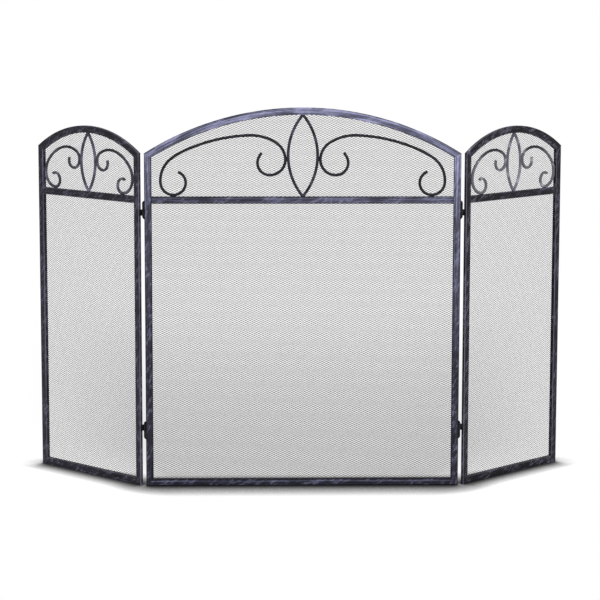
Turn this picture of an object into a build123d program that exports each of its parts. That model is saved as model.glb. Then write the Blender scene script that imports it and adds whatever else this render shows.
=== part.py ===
from build123d import *
import os
from math import asin, copysign, cos, degrees, hypot, radians, sin, sqrt

# Three-panel folding fireplace screen, in millimetres.
# Origin: on the floor, under the middle of the centre panel. +X to the right, +Y towards the fire, +Z up.

# Flat bar of the frames
BAR_WIDTH = 14.0
BAR_DEPTH = 6.35
BAR_EDGE_RADIUS = 1.0

# Panels
CENTRE_WIDTH = 610.0
WING_WIDTH = 298.0
SHOULDER_HEIGHT = 651.0
CENTRE_RISE = 88.0
WING_RISE = 46.0
MIDDLE_RAIL_TOP = 568.0
REST_FOLD = 45.0

# Wrought rods in the heads
ROD_DIAMETER = 5.5
CENTRE_LENS_HALF_WIDTH = 28.3
WING_LENS_HALF_WIDTH = 20.8
# Each scroll starts where it touches the middle rail and is a chain of (radius, degrees) arcs.
# The long way climbs over the top to the curl beside the lens, the short way ends the lower curl.
CENTRE_SCROLL_LONG = [
    (25, 85), (54, 60), (160, 11), (325, 22), (90, 34), (40, 54), (29.6, 100), (23.4, 103), (33, 24)
]
CENTRE_SCROLL_SHORT = [(23.5, 95), (22, 66)]
WING_SCROLL_LONG = [(28.5, 92), (40, 37), (78, 39), (57, 41), (18.5, 51), (17.5, 95), (14, 119)]
WING_SCROLL_SHORT = [(14, 208)]
# The arc of each long way that leans on the lens rod
CENTRE_LEANING_ARC = 6
WING_LEANING_ARC = 4

# Spark mesh, drawn as a plain sheet, and the strips that clamp it
MESH_THICKNESS = 0.6
STRIP_WIDTH = 6.0
STRIP_THICKNESS = 1.0
MESH_MARGIN = BAR_WIDTH - STRIP_WIDTH

# Screws through the strips into the bars
SCREW_RADIUS = 1.25
SCREW_CLEARANCE = 0.1
SCREW_DEPTH = 4.0
HEAD_RADIUS = 2.2
HEAD_HEIGHT = 1.1
HEAD_EDGE_RADIUS = 0.7
CENTRE_SCREWS = {"side": 4, "bottom": 4, "middle": 3, "arch": 4}
WING_SCREWS = {"side": 4, "bottom": 2, "middle": 2, "arch": 3}

# Pin hinges
PIN_RADIUS = 2.1
PIN_CLEARANCE = 0.08
PIN_SIDE_OFFSET = 2.5
PIN_REAR_OFFSET = 3.3
STAPLE_HEIGHT = 35.0
STAPLE_BEND = 3.2
STAPLE_BITE = 1.5
EYE_HEIGHT = 12.0
EYE_WALL = 1.5
EYE_TAIL_LENGTH = 6.0
EYE_TAIL_THICKNESS = 1.6
EYE_END_GAP = 6.4
UPPER_STAPLE_BOTTOM = 524.0
LOWER_STAPLE_BOTTOM = 92.0

REAR = BAR_DEPTH / 2
STRIP_FRONT = REAR + MESH_THICKNESS
STRIP_REAR = STRIP_FRONT + STRIP_THICKNESS
PIN_X = CENTRE_WIDTH / 2 + PIN_SIDE_OFFSET
PIN_Y = REAR + PIN_REAR_OFFSET
ROD_RADIUS = ROD_DIAMETER / 2
STANDING = (Align.CENTER, Align.CENTER, Align.MIN)


def slab(face, front, rear):
    """Turn a face drawn in the XZ plane into a plate between two depths."""
    return extrude(Pos(0, front, 0) * face, amount=rear - front, dir=(0, 1, 0))


def outline(points):
    """A face in the XZ plane with straight sides."""
    return make_face(Polyline([(x, 0, z) for x, z in points], close=True))


def rounded(bar, long_edges):
    """A bar with its long edges eased."""
    return fillet(bar.edges().filter_by(long_edges), BAR_EDGE_RADIUS)


def eased_section():
    """The section of a bar in the YZ plane, each long edge eased by two small flats."""
    points = []
    for quarter in range(4):
        corner = radians(90 * quarter + 45)
        y = copysign(BAR_DEPTH / 2 - BAR_EDGE_RADIUS, cos(corner))
        z = copysign(BAR_WIDTH / 2 - BAR_EDGE_RADIUS, sin(corner))
        for step in (-45, 0, 45):
            angle = corner + radians(step)
            points.append((0, y + BAR_EDGE_RADIUS * cos(angle), z + BAR_EDGE_RADIUS * sin(angle)))
    return make_face(Polyline(points, close=True))


class Arch:
    """The outline of one panel: two stiles under a circular head."""

    def __init__(self, width, rise):
        self.half = width / 2
        self.top = SHOULDER_HEIGHT + rise
        self.radius = (self.half**2 + rise**2) / (2 * rise)
        self.centre = self.top - self.radius

    def height(self, inset, x):
        """Height of the head line, drawn in by inset, at x."""
        return self.centre + sqrt((self.radius - inset) ** 2 - x**2)

    def shoulder(self, inset):
        """The corner of stile line and head line, both drawn in by inset."""
        x = self.half - inset
        return x, self.height(inset, x)

    def head_line(self, inset, reverse=False):
        """The head line from shoulder to shoulder as one arc."""
        x, z = self.shoulder(inset)
        ends = [(-x, 0, z), (x, 0, z)]
        start, end = reversed(ends) if reverse else ends
        return ThreePointArc(start, (0, 0, self.top - inset), end)

    def face(self, inset):
        """The whole panel outline, drawn in by inset."""
        x, z = self.shoulder(inset)
        sides = Polyline((x, 0, z), (x, 0, inset), (-x, 0, inset), (-x, 0, z))
        return make_face([self.head_line(inset), sides])

    def stile(self, side, outer, inner):
        """A stile between two insets, mitred to the bottom rail and the head."""
        (xo, zo), (xi, zi) = self.shoulder(outer), self.shoulder(inner)
        return outline([(side * xi, inner), (side * xo, outer), (side * xo, zo), (side * xi, zi)])

    def bottom(self, outer, inner):
        """The bottom rail between two insets, mitred to the stiles."""
        xo, xi = self.half - outer, self.half - inner
        return outline([(-xo, outer), (xo, outer), (xi, inner), (-xi, inner)])

    def head(self, outer, inner):
        """A flat strip under the arch between two insets, mitred to the stiles."""
        (xo, zo), (xi, zi) = self.shoulder(outer), self.shoulder(inner)
        right = Line((xo, 0, zo), (xi, 0, zi))
        left = Line((-xi, 0, zi), (-xo, 0, zo))
        return make_face([self.head_line(outer), right, self.head_line(inner, reverse=True), left])

    def bar(self):
        """The arch rail, rolled round the middle of the arch and mitred to the stiles."""
        (xo, zo), (xi, zi) = self.shoulder(0), self.shoulder(BAR_WIDTH)
        wide, beyond = 2 * xo - xi, 2 * zo - zi
        near, under = 2 * xi - xo, 2 * zi - zo
        high = self.top + BAR_WIDTH
        right = [(near, under), (wide, beyond), (wide, high)]
        room = outline(right + [(-x, z) for x, z in reversed(right)])
        reach = degrees(asin((self.half + BAR_WIDTH) / self.radius))
        middle = Pos(0, 0, self.centre)
        crown = Pos(0, 0, self.radius - BAR_WIDTH / 2)
        start = middle * Rot(0, -reach, 0) * crown * eased_section()
        axis = Axis((0, 0, self.centre), (0, 1, 0))
        return revolve(start, axis=axis, revolution_arc=2 * reach) & slab(room, -BAR_DEPTH, BAR_DEPTH)

    def middle(self, low, high):
        """The middle rail between two heights, butted between the stiles."""
        x = self.half - BAR_WIDTH
        return outline([(-x, low), (x, low), (x, high), (-x, high)])


def frame_bars(arch):
    """The five bars of one panel frame."""
    stiles = {side: slab(arch.stile(side, 0, BAR_WIDTH), -REAR, REAR) for side in (-1, 1)}
    bottom = slab(arch.bottom(0, BAR_WIDTH), -REAR, REAR)
    middle = slab(arch.middle(MIDDLE_RAIL_TOP - BAR_WIDTH, MIDDLE_RAIL_TOP), -REAR, REAR)
    return {
        "left_stile": rounded(stiles[-1], Axis.Z),
        "right_stile": rounded(stiles[1], Axis.Z),
        "bottom_rail": rounded(bottom, Axis.X),
        "middle_rail": rounded(middle, Axis.X),
        "arch_rail": arch.bar(),
    }


def mesh_strips(arch):
    """The five strips that clamp the mesh to the back of the bars."""
    middle_low = MIDDLE_RAIL_TOP - (BAR_WIDTH + STRIP_WIDTH) / 2
    faces = {
        "left_mesh_strip": arch.stile(-1, MESH_MARGIN, BAR_WIDTH),
        "right_mesh_strip": arch.stile(1, MESH_MARGIN, BAR_WIDTH),
        "bottom_mesh_strip": arch.bottom(MESH_MARGIN, BAR_WIDTH),
        "middle_mesh_strip": arch.middle(middle_low, middle_low + STRIP_WIDTH),
        "arch_mesh_strip": arch.head(MESH_MARGIN, BAR_WIDTH),
    }
    return {name: slab(face, STRIP_FRONT, STRIP_REAR) for name, face in faces.items()}


def screw_places(arch, counts):
    """Screw centres in the XZ plane, along the middle of each strip."""
    inset = MESH_MARGIN + STRIP_WIDTH / 2
    side_x, side_top = arch.shoulder(inset)
    rail_z = MIDDLE_RAIL_TOP - BAR_WIDTH / 2
    places = []
    for k in range(counts["side"]):
        z = side_top * (k + 0.5) / counts["side"]
        places += [(-side_x, z), (side_x, z)]
    for strip, height in (("bottom", inset), ("middle", rail_z)):
        step = 2 * side_x / counts[strip]
        places += [(-side_x + step * (k + 0.5), height) for k in range(counts[strip])]
    step = 2 * side_x / counts["arch"]
    for k in range(counts["arch"]):
        x = -side_x + step * (k + 0.5)
        places.append((x, arch.height(inset, x)))
    return places


def rod_along(x, z, front, rear, radius):
    """A round bar along Y."""
    return Pos(x, front, z) * Rot(-90, 0, 0) * Cylinder(radius, rear - front, align=STANDING)


def screw(x, z):
    """A small round-headed screw seen from behind."""
    head = rod_along(x, z, STRIP_REAR, STRIP_REAR + HEAD_HEIGHT, HEAD_RADIUS)
    head = fillet(head.edges().sort_by(Axis.Y)[-1], HEAD_EDGE_RADIUS)
    return head + rod_along(x, z, REAR - SCREW_DEPTH, STRIP_REAR, SCREW_RADIUS)


def mesh_sheet(arch):
    """The spark mesh as one plain sheet of its real outline and depth."""
    return slab(arch.face(MESH_MARGIN), REAR, STRIP_FRONT)


def lens_rod(arch, side, half_width):
    """One bowed rod of the lens, cut where it meets its twin, the middle rail and the arch."""
    low, high = MIDDLE_RAIL_TOP, arch.top - BAR_WIDTH
    bow = ThreePointArc((0, 0, low), (side * half_width, 0, (low + high) / 2), (0, 0, high))
    rod = sweep(Plane(bow @ 0, z_dir=bow % 0) * Circle(ROD_RADIUS), path=bow)
    under_arch = arch.height(BAR_WIDTH, ROD_DIAMETER)
    far = 2 * side * half_width
    room = outline([(0, low), (far, low), (far, under_arch), (0, under_arch)])
    return rod & slab(room, -REAR, REAR)


def scroll_arcs(start, way, chain):
    """The arcs of one way of a scroll, from the rail, as (centre, radius, first angle, turn).

    way is 1 for the long way, which sets out to the left and turns clockwise, and -1 for the short way.
    """
    arcs = []
    x, z = start
    angle = -90.0
    for radius, turn in chain:
        centre = x - radius * cos(radians(angle)), z - radius * sin(radians(angle))
        arcs.append((centre, radius, angle, -way * turn))
        angle -= way * turn
        x, z = centre[0] + radius * cos(radians(angle)), centre[1] + radius * sin(radians(angle))
    return arcs


def arc_edge(centre, radius, angle, turn):
    """One arc in the XZ plane."""

    def at(share):
        a = radians(angle + share * turn)
        return centre[0] + radius * cos(a), 0, centre[1] + radius * sin(a)

    return ThreePointArc(at(0), at(0.5), at(1))


def scroll_start(arch, lens_half_width, long_way, leaning_arc):
    """Where the left scroll touches the rail, so that its upper curl leans on the lens rod."""
    height = MIDDLE_RAIL_TOP + ROD_RADIUS
    low, high = MIDDLE_RAIL_TOP, arch.top - BAR_WIDTH
    half_height = (high - low) / 2
    lens_radius = (half_height**2 + lens_half_width**2) / (2 * lens_half_width)
    lens_centre = lens_radius - lens_half_width, (low + high) / 2
    centre, radius, _, _ = scroll_arcs((0, height), 1, long_way)[leaning_arc]
    apart = lens_radius + radius + ROD_DIAMETER
    return lens_centre[0] - sqrt(apart**2 - (lens_centre[1] - centre[1]) ** 2) - centre[0], height


def scroll(start, long_way, short_way):
    """The left C-scroll of a panel as one bent rod."""
    short = [arc_edge(*arc) for arc in scroll_arcs(start, -1, short_way)]
    long = [arc_edge(*arc) for arc in scroll_arcs(start, 1, long_way)]
    path = Wire(short + long)
    tip = short[-1]
    return sweep(Plane(tip @ 1, z_dir=tip % 1) * Circle(ROD_RADIUS), path=path)


def panel(width, rise, lens_half_width, long_way, short_way, leaning_arc, screw_counts):
    """Every piece of one panel, standing on the floor with its middle over the origin."""
    arch = Arch(width, rise)
    places = screw_places(arch, screw_counts)
    wide = [rod_along(x, z, REAR, STRIP_REAR, SCREW_RADIUS + SCREW_CLEARANCE) for x, z in places]
    tapped = [rod_along(x, z, REAR - SCREW_DEPTH, REAR, SCREW_RADIUS) for x, z in places]
    start = scroll_start(arch, lens_half_width, long_way, leaning_arc)
    left_scroll = scroll(start, long_way, short_way)
    parts = {name: bar - tapped for name, bar in frame_bars(arch).items()}
    parts["left_lens_rod"] = lens_rod(arch, -1, lens_half_width)
    parts["right_lens_rod"] = lens_rod(arch, 1, lens_half_width)
    parts["left_scroll"] = left_scroll
    parts["right_scroll"] = mirror(left_scroll, about=Plane.YZ)
    parts["mesh"] = mesh_sheet(arch) - wide
    parts.update({name: strip - wide for name, strip in mesh_strips(arch).items()})
    parts["mesh_screws"] = Compound([screw(x, z).solid() for x, z in places])
    return parts


def staple(side, bottom, stile):
    """A bent rod whose ends are coped over the rear corner of a centre stile."""
    lean = Vector(-side * PIN_SIDE_OFFSET, -PIN_REAR_OFFSET, 0).normalized()
    reach = hypot(PIN_SIDE_OFFSET, PIN_REAR_OFFSET) + STAPLE_BITE
    low = Vector(side * PIN_X, PIN_Y, bottom + PIN_RADIUS)
    high = low + Vector(0, 0, STAPLE_HEIGHT - 2 * PIN_RADIUS)
    path = FilletPolyline(low + lean * reach, low, high, high + lean * reach, radius=STAPLE_BEND)
    rod = sweep(Plane(path @ 0, z_dir=path % 0) * Circle(PIN_RADIUS), path=path)
    return rod - stile


def eye(side, bottom):
    """A short eye round the pin with a tail that lies along the wing stile, drawn with the wing in line."""
    bore = PIN_RADIUS + PIN_CLEARANCE
    outer = bore + EYE_WALL
    ring = Cylinder(outer, EYE_HEIGHT, align=STANDING)
    tail_x = side * (PIN_SIDE_OFFSET - EYE_TAIL_THICKNESS / 2)
    tail_rear = -bore
    tail_front = -PIN_REAR_OFFSET - EYE_TAIL_LENGTH
    tail_box = Box(EYE_TAIL_THICKNESS, tail_rear - tail_front, EYE_HEIGHT, align=STANDING)
    tail = Pos(tail_x, (tail_front + tail_rear) / 2, 0) * tail_box
    return Pos(0, 0, bottom) * (ring + tail - Cylinder(bore, EYE_HEIGHT, align=STANDING))


def main():
    """Build the screen and write one file for each piece."""
    pieces = {}
    centre = panel(
        CENTRE_WIDTH, CENTRE_RISE, CENTRE_LENS_HALF_WIDTH, CENTRE_SCROLL_LONG, CENTRE_SCROLL_SHORT,
        CENTRE_LEANING_ARC, CENTRE_SCREWS,
    )
    wing = panel(
        WING_WIDTH, WING_RISE, WING_LENS_HALF_WIDTH, WING_SCROLL_LONG, WING_SCROLL_SHORT,
        WING_LEANING_ARC, WING_SCREWS,
    )
    pieces.update({f"centre_{name}": piece for name, piece in centre.items()})
    for word, side in (("left", -1), ("right", 1)):
        fold = Pos(side * PIN_X, PIN_Y, 0) * Rot(0, 0, side * REST_FOLD)
        stand = fold * Pos(side * (WING_WIDTH / 2 + PIN_SIDE_OFFSET), -PIN_Y, 0)
        pieces.update({f"{word}_wing_{name}": stand * piece for name, piece in wing.items()})
        stile = centre[f"{word}_stile"]
        upper_eye = UPPER_STAPLE_BOTTOM + EYE_END_GAP
        lower_eye = LOWER_STAPLE_BOTTOM + STAPLE_HEIGHT - EYE_END_GAP - EYE_HEIGHT
        pieces[f"{word}_upper_hinge_staple"] = staple(side, UPPER_STAPLE_BOTTOM, stile)
        pieces[f"{word}_lower_hinge_staple"] = staple(side, LOWER_STAPLE_BOTTOM, stile)
        pieces[f"{word}_upper_hinge_eye"] = fold * eye(side, upper_eye)
        pieces[f"{word}_lower_hinge_eye"] = fold * eye(side, lower_eye)
    os.makedirs("parts", exist_ok=True)
    for name, piece in pieces.items():
        export_step(piece, f"parts/{name}.step")


main()
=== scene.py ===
"""Dresses the folding fireplace screen: paint, spark mesh, welds, screw heads, studio and camera."""

import logging
from dataclasses import dataclass, replace
from enum import Enum
from math import ceil, cos, pi, radians, sin, sqrt

import bpy
import numpy as np
from mathutils import Euler, Matrix, Vector

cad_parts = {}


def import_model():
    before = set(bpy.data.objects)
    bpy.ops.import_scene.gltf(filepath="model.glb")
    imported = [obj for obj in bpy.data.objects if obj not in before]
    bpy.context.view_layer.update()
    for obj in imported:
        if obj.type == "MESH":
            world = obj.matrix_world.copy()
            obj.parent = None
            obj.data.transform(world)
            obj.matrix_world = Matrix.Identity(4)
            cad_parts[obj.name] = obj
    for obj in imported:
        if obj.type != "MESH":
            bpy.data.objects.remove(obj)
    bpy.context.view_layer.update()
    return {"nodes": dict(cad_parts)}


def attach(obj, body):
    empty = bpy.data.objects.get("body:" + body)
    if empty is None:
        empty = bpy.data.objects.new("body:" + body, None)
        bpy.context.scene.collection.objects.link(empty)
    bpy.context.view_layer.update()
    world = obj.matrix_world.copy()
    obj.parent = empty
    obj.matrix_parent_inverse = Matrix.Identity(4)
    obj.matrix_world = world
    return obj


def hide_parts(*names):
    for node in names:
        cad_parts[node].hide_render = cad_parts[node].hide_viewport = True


LOG = logging.getLogger("fireplace_screen")

BAR_WIDTH = 0.014
BAR_DEPTH = 0.00635
SHOULDER_HEIGHT = 0.651
MIDDLE_RAIL_TOP = 0.568
CENTRE_WIDTH = 0.610
CENTRE_RISE = 0.088
WING_WIDTH = 0.298
WING_RISE = 0.046
REST_FOLD = radians(45)
PIN_SIDE_OFFSET = 0.0025
PIN_REAR_OFFSET = 0.0033
PIN_RADIUS = 0.0021
PIN_X = CENTRE_WIDTH / 2 + PIN_SIDE_OFFSET
PIN_Y = BAR_DEPTH / 2 + PIN_REAR_OFFSET
SHEET_THICKNESS = 0.0006
STRIP_THICKNESS = 0.0010
STRIP_REAR = BAR_DEPTH / 2 + SHEET_THICKNESS + STRIP_THICKNESS
STRIP_WIDTH = 0.006
STAPLE_HEIGHT = 0.035
STAPLE_BOTTOMS = (0.524, 0.092)
EYE_HEIGHT = 0.012
EYE_BOTTOMS = (0.5304, 0.1086)
CENTRE_SCROLL_FOOT = 0.24868
CENTRE_LENS_TOUCH = (0.0309, 0.64029)
CENTRE_SCREWS = {"side": 4, "bottom": 4, "middle": 3, "arch": 4}
WING_SCROLL_FOOT = 0.10007
WING_LENS_TOUCH = (0.0235, 0.62847)
WING_SCREWS = {"side": 4, "bottom": 2, "middle": 2, "arch": 3}
SIDES = ("left", "right")
STRIPS = ("left", "right", "bottom", "middle", "arch")
HINGES = ("left_upper", "left_lower", "right_upper", "right_lower")

Colour = tuple[float, float, float]
Point = tuple[float, float, float]
Span = tuple[float, float]
Ramp = tuple[float, float, float, float]
Socket = bpy.types.NodeSocket
Piece = bpy.types.Object


class Bar(Enum):
    """The five bars of a panel frame, by the ending of their names."""

    LEFT_STILE = "left_stile"
    RIGHT_STILE = "right_stile"
    BOTTOM_RAIL = "bottom_rail"
    MIDDLE_RAIL = "middle_rail"
    ARCH_RAIL = "arch_rail"


STILES = (Bar.LEFT_STILE, Bar.RIGHT_STILE)


@dataclass(frozen=True)
class BarPaint:
    """Black enamel with a lighter pewter brushed over it along the bar, and stray diagonal flecks; the
    pewter's share also carries painted light and shade.

    Attributes:
        dark: The enamel.
        light: The pewter.
        pewter_and_light_low: Share of pewter up to the height pewter_and_light_from.
        pewter_and_light_high: Share of pewter from the height pewter_and_light_to.
        pewter_and_light_from: Height where the share starts to change; that change with height is painted
            light and shade.
        pewter_and_light_to: Height where it has changed.
        fleck: Strength of the flecks.
        stile_corner_wear_and_light: Share added along the front corners of the stiles, or taken away when
            negative: worn paint on the corners together with a painted highlight, and darker corners where
            negative.
        rail_corner_wear_and_light: The same for the rails.
        edge_reach: Width of the corner lines.
        stile_highlights: Share added to single bars above stile_highlight_from, a painted highlight that
            lights one stile more than the other, as if from the right.
        stile_highlight_from: Height where the lifts start. They are whole at pewter_and_light_from.
        highlight_line_bar: The bar that has one lighter line along it, a painted highlight along its upper
            part.
        highlight_line_place: How far that line is from the bar's middle line.
        highlight_line_reach: Half its width.
        highlight_line_share: Share of pewter that it adds.
        light_tilted_bar: The bar whose cover grows from its left end to its right end, as painted light from
            the right.
        tilt: How much of the cover is lost at the left end and gained at the right.
        bump: Strength of the relief.
    """

    dark: Colour
    light: Colour
    pewter_and_light_low: float
    pewter_and_light_high: float
    pewter_and_light_from: float
    pewter_and_light_to: float
    fleck: float
    stile_corner_wear_and_light: float
    rail_corner_wear_and_light: float
    edge_reach: float
    stile_highlights: tuple[tuple[Bar, float], ...] = ()
    stile_highlight_from: float = 0.20
    highlight_line_bar: Bar | None = None
    highlight_line_place: float = 0.0020
    highlight_line_reach: float = 0.0024
    highlight_line_share: float = 0.24
    light_tilted_bar: Bar | None = None
    tilt: float = 0.45
    bump: float = 0.25


@dataclass(frozen=True)
class ForgedSkin:
    """Painted forge skin with shallow dents.

    Attributes:
        name: The material's name.
        dark: The tone of the hollows.
        light: The tone of the raised patches.
        dent: Size of the dents.
        roughness: Mean roughness.
        bump: Strength of the relief.
        least_sheen: Least share of the light tone; on the wing rods this is a painted sheen.
        crest_shade_heights: Heights between which the light tone fades out upwards, painted shade on the tops
            of the scrolls.
    """

    name: str
    dark: Colour
    light: Colour
    dent: float
    roughness: float
    bump: float
    least_sheen: float = 0.0
    crest_shade_heights: Span | None = None


@dataclass(frozen=True)
class PanelFinish:
    """The finishes of one panel's bars and rods: copies of one paint, made lighter or darker per panel as
    painted light.
    """

    bars: BarPaint
    lens: ForgedSkin
    scroll: ForgedSkin


# The centre's copy of the paint is lighter than the wings', a painted reflection of the front light on the
# panel that faces it.
CENTRE_PAINT_LIT = BarPaint(
    dark=(0.008, 0.008, 0.014), light=(0.430, 0.435, 0.680), pewter_and_light_low=0.055, pewter_and_light_high=0.93,
    pewter_and_light_from=0.47, pewter_and_light_to=0.76, fleck=0.25, stile_corner_wear_and_light=-0.60, rail_corner_wear_and_light=-0.60, edge_reach=0.0020,
    stile_highlights=((Bar.LEFT_STILE, 0.11), (Bar.RIGHT_STILE, 0.28)), highlight_line_bar=Bar.BOTTOM_RAIL,
    light_tilted_bar=Bar.MIDDLE_RAIL,
)
# The wings' copies are darker, painted shade for panels turned away from the light.
WING_PAINT_SHADED = BarPaint(
    dark=(0.005, 0.0046, 0.007), light=(0.180, 0.173, 0.245), pewter_and_light_low=0.07, pewter_and_light_high=0.04,
    pewter_and_light_from=0.20, pewter_and_light_to=0.70, fleck=0.62, stile_corner_wear_and_light=1.00, rail_corner_wear_and_light=0.30, edge_reach=0.0018,
)
LEFT_WING_PAINT_SHADED = replace(WING_PAINT_SHADED, pewter_and_light_low=0.23, pewter_and_light_high=0.13)
ROD_SKIN = ForgedSkin("wrought_rod_black", (0.004, 0.004, 0.008), (0.026, 0.025, 0.044), 0.005, 0.45, 0.35)
# The lens rods' lighter tone is brushed paint with a painted sheen in it.
CENTRE_LENS_BRUSH_AND_SHEEN = ForgedSkin("lens_rod_brushed_and_sheen", (0.005, 0.005, 0.010), (0.085, 0.083, 0.140), 0.030, 0.42, 0.35)
# Painted shade: the light tone of the wing scrolls fades out on their tops.
SCROLL_CREST_SHADE = (0.634, 0.654)
# The wing rods' light tones are a painted sheen, stronger on the right wing than on the left.
LEFT_LENS_SHEEN_SKIN = ForgedSkin(
    "left_lens_rod_sheen", (0.052, 0.050, 0.078), (0.260, 0.250, 0.360), 0.030, 0.42, 0.35
)
LEFT_ROD_SHEEN_SKIN = ForgedSkin(
    "left_wing_rod_sheen", (0.012, 0.011, 0.018), (0.260, 0.250, 0.320), 0.014, 0.45, 0.35,
    least_sheen=0.17, crest_shade_heights=SCROLL_CREST_SHADE,
)
RIGHT_LENS_SHEEN_SKIN = ForgedSkin(
    "right_lens_rod_sheen", (0.115, 0.112, 0.145), (0.520, 0.510, 0.610), 0.030, 0.42, 0.35
)
RIGHT_ROD_SHEEN_SKIN = ForgedSkin(
    "right_wing_rod_sheen", (0.014, 0.013, 0.018), (0.600, 0.590, 0.680), 0.014, 0.45, 0.35,
    least_sheen=0.22, crest_shade_heights=SCROLL_CREST_SHADE,
)
MESH_SKIN = ForgedSkin("spark_mesh_black", (0.030, 0.028, 0.032), (0.085, 0.081, 0.090), 0.012, 0.50, 0.10)
STRIP_SKIN = ForgedSkin("mesh_strip_black", (0.006, 0.006, 0.008), (0.045, 0.045, 0.052), 0.010, 0.48, 0.20)
SCREW_SKIN = ForgedSkin("screw_head_dull", (0.060, 0.060, 0.064), (0.220, 0.220, 0.230), 0.002, 0.40, 0.15)
HINGE_SKIN = ForgedSkin("hinge_black", (0.004, 0.004, 0.006), (0.040, 0.040, 0.052), 0.004, 0.42, 0.30)
WELD_SKIN = ForgedSkin("weld_bead_black", (0.003, 0.003, 0.005), (0.018, 0.018, 0.026), 0.002, 0.45, 0.40)
CENTRE_FINISH = PanelFinish(CENTRE_PAINT_LIT, CENTRE_LENS_BRUSH_AND_SHEEN, ROD_SKIN)
LEFT_WING_FINISH = PanelFinish(LEFT_WING_PAINT_SHADED, LEFT_LENS_SHEEN_SKIN, LEFT_ROD_SHEEN_SKIN)
RIGHT_WING_FINISH = PanelFinish(WING_PAINT_SHADED, RIGHT_LENS_SHEEN_SKIN, RIGHT_ROD_SHEEN_SKIN)
BAR_GLOSS = 0.14
SKIN_GLOSS = 0.20
BUMP_DISTANCE = 0.0004
NOISE_ROUGHNESS = 0.6


class Graph:
    """A shader node tree with short calls to add nodes and join them."""

    def __init__(self, tree: bpy.types.NodeTree) -> None:
        """Take over a tree, emptied."""
        self.tree = tree
        tree.nodes.clear()

    def add(self, kind: str, inputs: dict | None = None, **settings: object) -> bpy.types.Node:
        """Add a node.

        Args:
            kind: The node's type name after ShaderNode, or the whole type name.
            inputs: Values or output sockets by input name or place.
            settings: Attributes of the node.

        Returns:
            The node.
        """
        whole = kind if kind.startswith("Node") else "ShaderNode" + kind
        node = self.tree.nodes.new(whole)
        for name, value in settings.items():
            setattr(node, name, value)
        for name, value in (inputs or {}).items():
            if isinstance(value, Socket):
                self.tree.links.new(value, node.inputs[name])
            else:
                node.inputs[name].default_value = value
        return node

    def math(self, operation: str, *values: object, clamp: bool = False) -> Socket:
        """One Math node on values or sockets."""
        node = self.add("Math", dict(enumerate(values)), operation=operation, use_clamp=clamp)
        return node.outputs[0]

    def scaled(self, vector: Socket, scale: Point) -> Socket:
        """A vector stretched by its own factor on each axis."""
        node = self.add("VectorMath", {0: vector, 1: scale}, operation="MULTIPLY")
        return node.outputs[0]

    def noise(self, vector: Socket, scale: float, detail: float) -> Socket:
        """The value of a noise texture."""
        inputs = {"Vector": vector, "Scale": scale, "Detail": detail, "Roughness": NOISE_ROUGHNESS}
        return self.add("TexNoise", inputs).outputs["Fac"]

    def ramp(
        self, value: Socket, low: float, high: float | Socket, start: float = 0.0, end: float = 1.0
    ) -> Socket:
        """Map a value from low..high to start..end, smoothly and held at both ends."""
        inputs = {"Value": value, "From Min": low, "From Max": high, "To Min": start, "To Max": end}
        node = self.add("MapRange", inputs, interpolation_type="SMOOTHSTEP")
        return node.outputs["Result"]

    def mixed(self, share: Socket, first: object, second: object) -> Socket:
        """A colour between two colours."""
        node = self.add("Mix", {0: share, 6: first, 7: second}, data_type="RGBA")
        return node.outputs[2]


@dataclass(frozen=True)
class BrushTexture:
    """Noise of the brushed paint: waves a metre along, across and into the bar, and how they are mapped."""

    streak_waves: Point = (9.0, 420.0, 350.0)
    patch_waves: Point = (24.0, 70.0, 60.0)
    fleck_waves: Point = (75.0, 250.0, 200.0)
    fleck_angle: float = -0.45
    grain_waves: float = 1500.0
    streak_cover: Ramp = (0.40, 0.60, 0.28, 1.18)
    patch_cover: Ramp = (0.36, 0.62, 0.55, 1.05)
    fleck_cover: Ramp = (0.47, 0.64, 0.0, 1.0)
    fleck_patches: Ramp = (0.38, 0.60, 0.0, 1.0)
    corner_wear_and_light_streaks: Ramp = (0.36, 0.60, 0.4, 1.0)
    corner_fade: Ramp = (0.25, 1.0, 1.0, 0.0)
    roughness: Ramp = (0.0, 1.0, 0.42, 0.32)
    grain_roughness: float = 0.16
    streak_relief: float = 0.6
    grain_relief: float = 0.4


@dataclass(frozen=True)
class SkinTexture:
    """Noise of the forged skin, in waves a metre, and how it is mapped."""

    cloud_waves: float = 60.0
    grain_waves: float = 1800.0
    dent_detail: float = 2.0
    raised: Ramp = (0.35, 0.70, 0.0, 1.0)
    clouded: Ramp = (0.30, 0.70, 0.0, 1.0)
    grain_roughness: float = 0.2
    dent_relief: float = 0.7
    grain_relief: float = 0.3


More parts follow.
